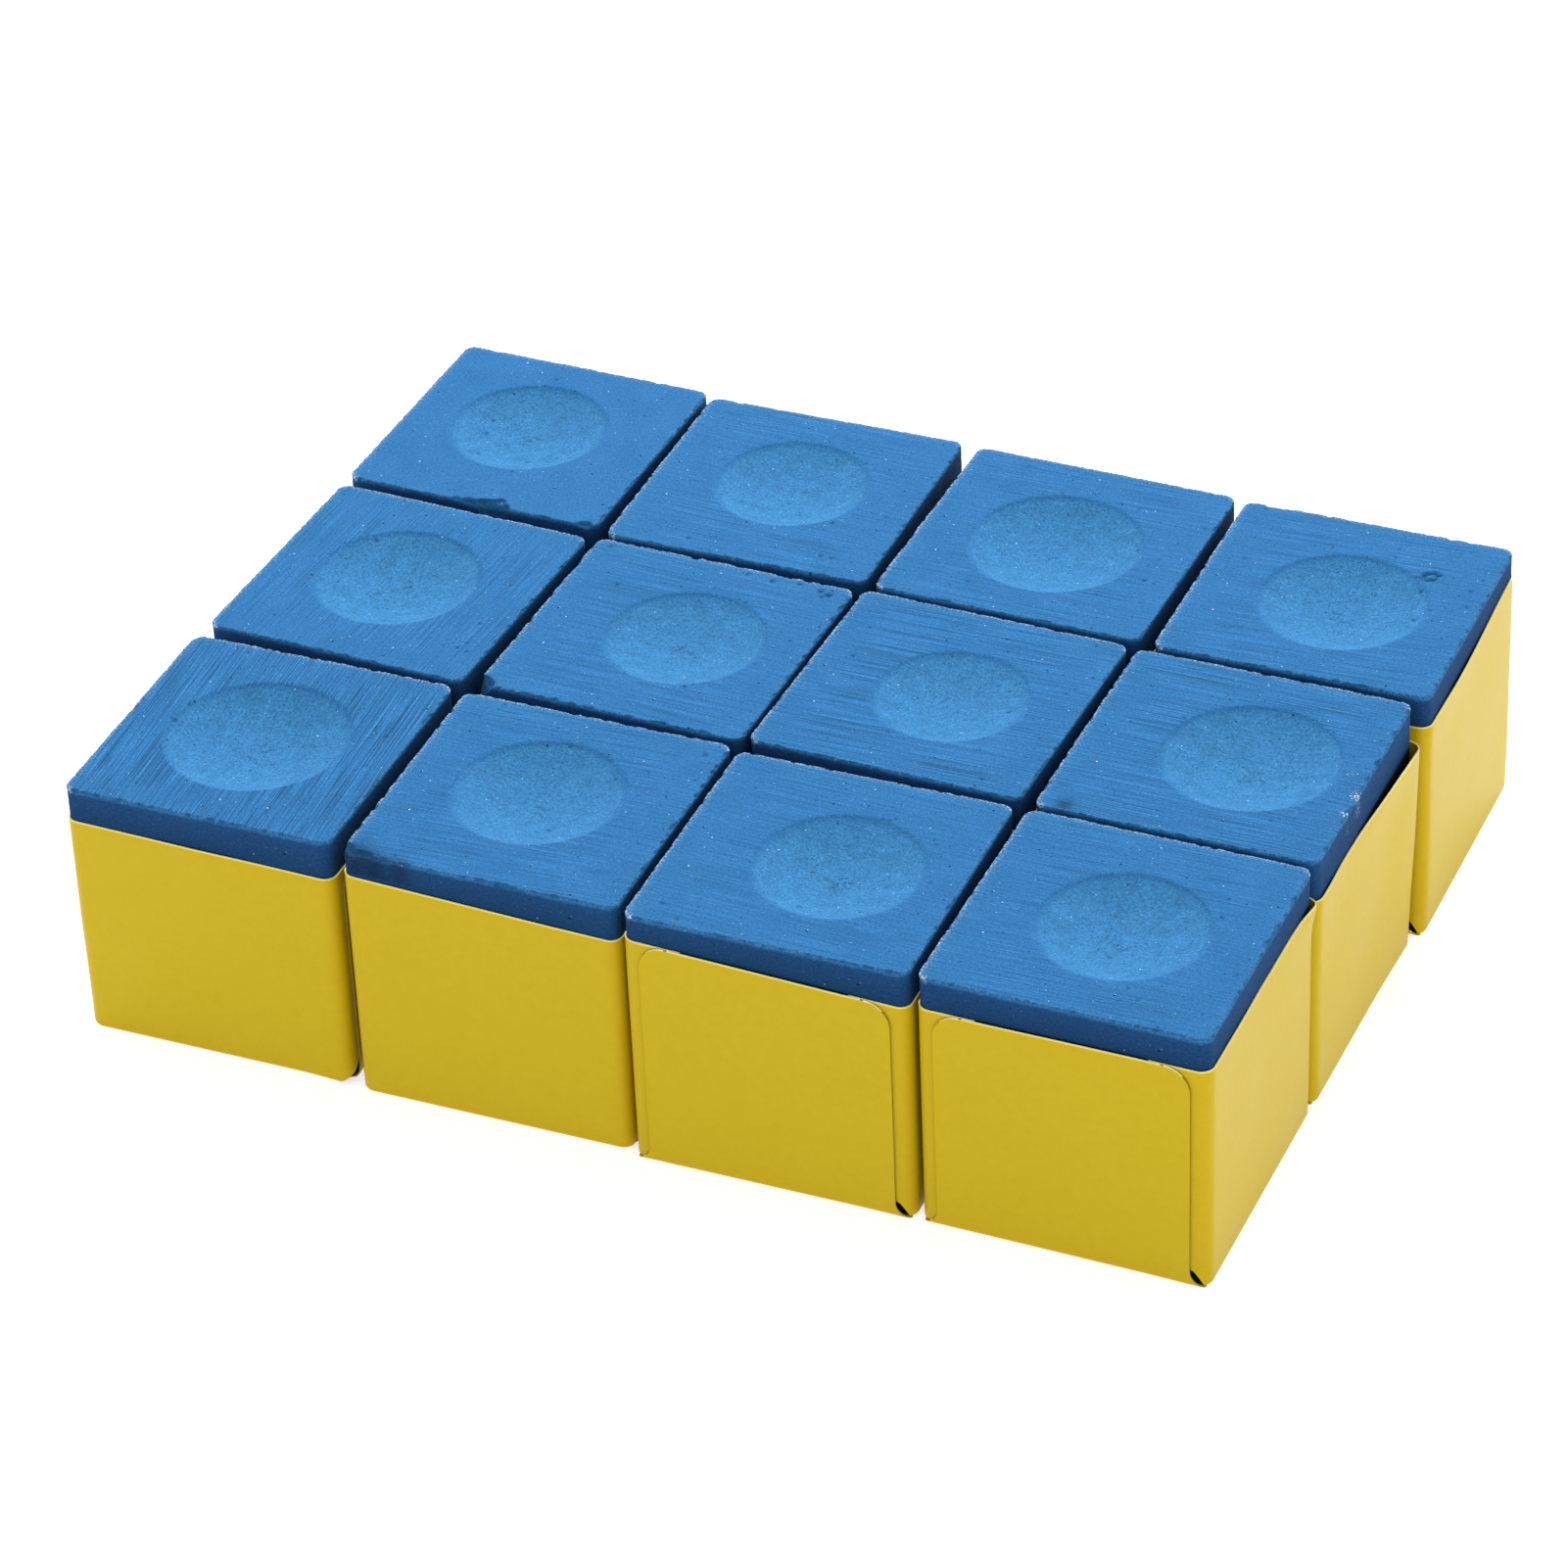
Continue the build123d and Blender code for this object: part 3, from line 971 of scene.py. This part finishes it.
def chalk_patterns(tree):
    """The values that the chalk's mesh carries and the patterns on it, as outputs of nodes.

    The scales are in cells per millimetre.
    """
    names = ("hollow", "rim", "saw", "skin", "dust", "worn", "scuff", "under")
    carried = {name: attribute(tree, name) for name in names}
    hollow, saw, under = carried["hollow"], carried["saw"], carried["under"]
    grain = attribute(tree, "grain", "Vector")
    grit = noise(tree, grain, 5.5, 3.0, 0.75)
    patches = even_noise(tree, grain, 3.2, 5.0, 0.8)
    swirls = even_noise(tree, grain, 0.8, 3.0, 0.6)
    lines = even_noise(tree, mapped(tree, grain, (0.11, 8.5, 1)), 1.0, 2.0, 0.6)
    lines = times(tree, lines, patches, 2.6)
    drawn_out = (0.04, 1, 1)
    scratches = dots(tree, mapped(tree, grain, drawn_out, (3, 5, 0)), 0.8, 0.35, 0.035)
    pale_scratches = dots(tree, mapped(tree, grain, drawn_out, (7, 9, 0)), 0.8, 0.4, 0.04)
    bright = dots(tree, grain, 0.7, 0.08, 0.055)
    small_bright = dots(tree, mapped(tree, grain, shift=(9, 4, 0)), 1.7, 0.08, 0.03)
    small_dark = dots(tree, mapped(tree, grain, shift=(23, 41, 0)), 3.2, 0.5, 0.055)
    return SimpleNamespace(
        **carried,
        mottle=noise(tree, grain, 0.35, 4.0),
        grit=grit,
        even_grit=math_node(tree, "SUBTRACT", grit, 0.5),
        patches=patches,
        swirls=multiply(tree, swirls, hollow),
        lines=multiply(tree, lines, saw),
        scratches=multiply(tree, scratches, saw),
        pale_scratches=multiply(tree, pale_scratches, saw),
        bright=math_node(tree, "MAXIMUM", bright, small_bright),
        dark=dots(tree, mapped(tree, grain, shift=(31, 17, 0)), 0.8, 0.3, 0.075),
        small_dark=multiply(tree, small_dark, hollow),
        brown=dots(tree, mapped(tree, grain, shift=(11, 27, 0)), 0.35, 0.1, 0.08),
        darkened_patch=multiply(tree, carried["scuff"], -1.0, clamp=True),
        near_label=multiply(tree, scale_add(tree, under, 0.4, 1.0, clamp=True), carried["skin"]),
        # Painted shade: dark behind the label and along a thin line just above its top edge
        painted_label_shade=scale_add(tree, under, 10.0, 0.7, clamp=True),
    )


def chalk_shade(tree, chalk):
    """How bright the chalk is: each pattern adds to it, or darkens where its amount is below 0."""
    effects = (
        (chalk.even_grit, 1.6),
        (chalk.patches, scale_add(tree, chalk.hollow, 0.5, 0.7)),
        (chalk.swirls, 0.6),
        (chalk.lines, 1.8),
        (chalk.scratches, -0.25),
        (chalk.pale_scratches, 0.3),
        (chalk.dark, -0.75),
        (chalk.small_dark, -0.5),
        # painted highlight along the dimple's rim
        (chalk.rim, 0.08),
        # painted shade in the chips and pits
        (chalk.worn, -0.22),
        (chalk.darkened_patch, -0.65),
        (chalk.near_label, -0.3),
        # painted shade behind and just above the label's top edge
        (chalk.painted_label_shade, -0.9),
    )
    shade = 1.0
    for pattern, amount in effects:
        shade = times(tree, shade, pattern, amount)
    return shade


def chalk_white(tree, chalk):
    """1 on bright grains and on rubbed grit, but weak on the sides and gone behind the label."""
    threshold = scale_add(tree, chalk.scuff, 0.25, -0.72)
    rubbed = multiply(tree, math_node(tree, "ADD", chalk.grit, threshold), 10.0, clamp=True)
    rubbed = multiply(tree, rubbed, multiply(tree, chalk.scuff, 4.0, clamp=True))
    covered = math_node(tree, "MAXIMUM", chalk.painted_label_shade, multiply(tree, chalk.skin, 0.8))
    visible = math_node(tree, "SUBTRACT", 1.0, covered)
    return multiply(tree, math_node(tree, "MAXIMUM", chalk.bright, rubbed), visible)


def chalk_material():
    """Pressed chalk: mottled blue and gritty, with saw lines, and with bright and dark grains."""
    material, tree, shader = new_material("chalk")
    chalk = chalk_patterns(tree)
    blues = (TOP_BLUES, DIMPLE_BLUES, SIDE_SKIN_AND_SHADE_BLUES)
    colour, dimple_colour, side_colour = (mix_colour(tree, chalk.mottle, *pair) for pair in blues)
    colour = mix_colour(tree, chalk.hollow, colour, dimple_colour)
    # Darker sides: partly the moulded skin, partly painted shade
    colour = mix_colour(tree, chalk.skin, colour, side_colour)
    colour = scale_colour(tree, colour, chalk_shade(tree, chalk))
    # Pale dust on the edges, and a painted highlight on the left and back ones
    speckled = scale_add(tree, chalk.grit, 10.0, -4.8, clamp=True)
    dust_and_highlight_share = multiply(tree, speckled, times(tree, chalk.dust, chalk.worn, -1.0))
    colour = mix_colour(tree, dust_and_highlight_share, colour, DUST_AND_HIGHLIGHT_COLOUR)
    colour = mix_colour(tree, chalk.brown, colour, BROWN_GRAIN)
    colour = mix_colour(tree, chalk_white(tree, chalk), colour, WHITE_GRAIN)
    tree.links.new(colour, shader.inputs["Base Color"])

    height = multiply(tree, chalk.grit, 0.06)
    for pattern, rise in ((chalk.lines, 0.07), (chalk.scratches, -0.04), (chalk.dark, -0.12)):
        height = scale_add(tree, pattern, rise, height)
    add_bump(tree, shader, height)
    shader.inputs["Roughness"].default_value = CHALK_ROUGHNESS
    shader.inputs["Specular IOR Level"].default_value = LOW_SPECULAR
    return material


def label_material():
    """Coated yellow paper: faint fibres, a deeper colour at its folds, a painted highlight along
    its top edge, and bare cut edges, painted lit where they face up and shaded elsewhere.
    """
    material, tree, shader = new_material("label_paper")
    place = make(tree, "TexCoord").outputs["Object"]
    fibres = noise(tree, place, 1400.0, 4.0, 0.6)
    clouds = noise(tree, place, 140.0, 3.0)
    cut = attribute(tree, "cut")
    colour = mix_colour(tree, clouds, *PAPER_YELLOWS)
    colour = mix_colour(tree, attribute(tree, "fold"), colour, FOLD_YELLOW)
    # painted highlight along the top edge
    colour = mix_colour(tree, attribute(tree, "brink"), colour, TOP_EDGE_HIGHLIGHT_YELLOW)
    colour = scale_colour(tree, colour, scale_add(tree, fibres, 0.10, 0.95))
    # cut edges painted lit where they face up and shaded elsewhere
    is_lit = scale_add(tree, cut, 2.0, -1.0, clamp=True)
    cut_colour = mix_colour(tree, is_lit, *CUT_SHADE_AND_HIGHLIGHT_YELLOWS)
    colour = mix_colour(tree, multiply(tree, cut, 2.0, clamp=True), colour, cut_colour)
    tree.links.new(colour, shader.inputs["Base Color"])
    tree.links.new(scale_add(tree, clouds, 0.14, 0.28), shader.inputs["Roughness"])
    add_bump(tree, shader, multiply(tree, fibres, 0.006))
    shader.inputs["Specular IOR Level"].default_value = LOW_SPECULAR
    return material


def thicken(mesh):
    """The sheet with its thickness. The faces along its cut edge come last."""
    sheet = bpy.data.objects.new("sheet", mesh)
    link(sheet)
    solid = sheet.modifiers.new("thickness", "SOLIDIFY")
    solid.thickness = (PAPER - GLUE_GAP) * MM
    solid.offset = 0
    solid.use_even_offset = True
    bpy.context.view_layer.update()
    shown = sheet.evaluated_get(bpy.context.evaluated_depsgraph_get())
    thick = bpy.data.meshes.new_from_object(shown)
    bpy.data.objects.remove(sheet)
    bpy.data.meshes.remove(mesh)
    return thick


def mark_cut(mesh, first):
    """Marks the faces of the cut edge: 1 where they face up, 0.5 elsewhere, and 0 off the edge.
    The material paints those that face up lit and the others shaded.
    """
    values = np.zeros(len(mesh.loops))
    for face in mesh.polygons[first:]:
        corners = slice(face.loop_start, face.loop_start + face.loop_total)
        values[corners] = 1 if face.normal.z > FACING_UP else 0.5
    write_values(mesh, "cut", values, "CORNER")


def mark_folds(mesh, block):
    """Writes how near each point of a label is to a fold or to its top, from 0 to 1, and a painted
    highlight just below its top edge.
    """
    points = np.zeros(3 * len(mesh.vertices))
    mesh.vertices.foreach_get("co", points)
    points = points.reshape(-1, 3) / MM
    from_corner = LABEL_HALF - np.minimum(np.abs(points[:, 0]), np.abs(points[:, 1]))
    from_top = label_edge(points, block) - points[:, 2]
    near = np.exp(-np.minimum(from_corner, points[:, 2]) / FOLD_REACH)
    near = np.maximum(near, TOP_SHARE * np.exp(-from_top / TOP_REACH))
    brink = TOP_HIGHLIGHT_SHARE * np.exp(-((np.maximum(from_top, 0) / TOP_HIGHLIGHT_REACH) ** 2))
    write_values(mesh, "fold", np.clip(near, 0, 1))
    write_values(mesh, "brink", brink)


def build_chalk(block, place, material):
    """One chalk block, in place of its CAD node."""
    points, faces, values = chalk_shape(block)
    mesh = new_mesh(f"chalk_{block.name}", points, faces)
    for name, numbers in values.items():
        write_values(mesh, name, numbers)
    place_piece(mesh, "chalk", block.name, place, material)


def build_label(block, place, material):
    """One folded label, in place of its CAD node."""
    points, faces = label_shape(block)
    settle_label(points, block)
    mesh = new_mesh("sheet", points, faces)
    weld(mesh)
    flat_faces = 2 * len(mesh.polygons)
    mesh = thicken(mesh)
    mesh.name = f"label_{block.name}"
    mark_cut(mesh, flat_faces)
    mesh.set_sharp_from_angle(angle=radians(SHARP_ANGLE))
    mark_folds(mesh, block)
    place_piece(mesh, "label", block.name, place, material)


def build_cubes():
    """Every cube of the set, where the CAD model has it."""
    chalk = chalk_material()
    paper = label_material()
    mounts = {mount["name"]: Vector(mount["pos_m"]) for mount in frame["record"]["mounts"]}
    for number, (name, look) in enumerate(LOOKS.items(), 1):
        turn = Matrix.Rotation(radians(look.turn), 4, "Z")
        place = Matrix.Translation(mounts[f"base_{name}"]) @ turn
        block = Block(
            name,
            look,
            dimple=place.inverted() @ mounts[f"tip_dimple_{name}"] / MM,
            top=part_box(f"chalk_block_{name}")[1].z / MM,
            label_top=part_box(f"paper_label_{name}")[1].z / MM,
            seed=100 * number,
        )
        build_chalk(block, place, chalk)
        build_label(block, place, paper)


def build_floor():
    """A plain floor that the lights and its own glow turn white."""
    material, _, shader = new_material("floor")
    shader.inputs["Base Color"].default_value = FLOOR_GREY
    shader.inputs["Emission Color"].default_value = WHITE
    shader.inputs["Emission Strength"].default_value = FLOOR_GLOW
    shader.inputs["Roughness"].default_value = FLOOR_ROUGHNESS
    shader.inputs["Specular IOR Level"].default_value = LOW_SPECULAR
    signs = ((-1, -1), (1, -1), (1, 1), (-1, 1))
    corners = [(x * FLOOR_HALF, y * FLOOR_HALF, 0) for x, y in signs]
    mesh = bpy.data.meshes.new("floor")
    mesh.from_pydata(corners, [], [(0, 1, 2, 3)])
    mesh.materials.append(material)
    floor = bpy.data.objects.new("floor", mesh)
    link(floor)


def looking(point, target, roll=0.0):
    """Where something stands that looks from a point at a target."""
    turn = (Vector(target) - Vector(point)).to_track_quat("-Z", "Y").to_matrix().to_4x4()
    return Matrix.Translation(point) @ turn @ Matrix.Rotation(radians(roll), 4, "Z")


def around(target, azimuth, elevation, distance):
    """The point at a distance from a target, with azimuth 0 in front of it."""
    level = cos(radians(elevation))
    x = sin(radians(azimuth)) * level
    y = -cos(radians(azimuth)) * level
    return Vector(target) + Vector((x, y, sin(radians(elevation)))) * distance


def add_light(name, azimuth, elevation, distance, size, power):
    """A square soft light that faces the set."""
    data = bpy.data.lights.new(name, "AREA")
    data.size = size
    data.energy = power
    light = bpy.data.objects.new(name, data)
    link(light)
    light.matrix_world = looking(around(SET_MIDDLE, azimuth, elevation, distance), SET_MIDDLE)


def build_studio():
    """Soft white light all round, a key light above and behind, a weak fill, and the camera."""
    scene = bpy.context.scene
    world = bpy.data.worlds.new("studio")
    world.use_nodes = True
    world.node_tree.nodes["Background"].inputs["Color"].default_value = WHITE
    world.node_tree.nodes["Background"].inputs["Strength"].default_value = 1.0
    scene.world = world
    scene.view_settings.view_transform = "Standard"
    for name, settings in LIGHTS.items():
        add_light(name, *settings)

    data = bpy.data.cameras.new("camera")
    data.sensor_width = SENSOR_WIDTH
    data.lens = CAMERA_LENS
    data.clip_start = CLIP_START
    camera = bpy.data.objects.new("camera", data)
    link(camera)
    camera.matrix_world = looking(around(CAMERA_AIM, *CAMERA_PLACE), CAMERA_AIM, CAMERA_ROLL)
    scene.camera = camera


build_cubes()
build_floor()
build_studio()

bpy.context.view_layer.update()
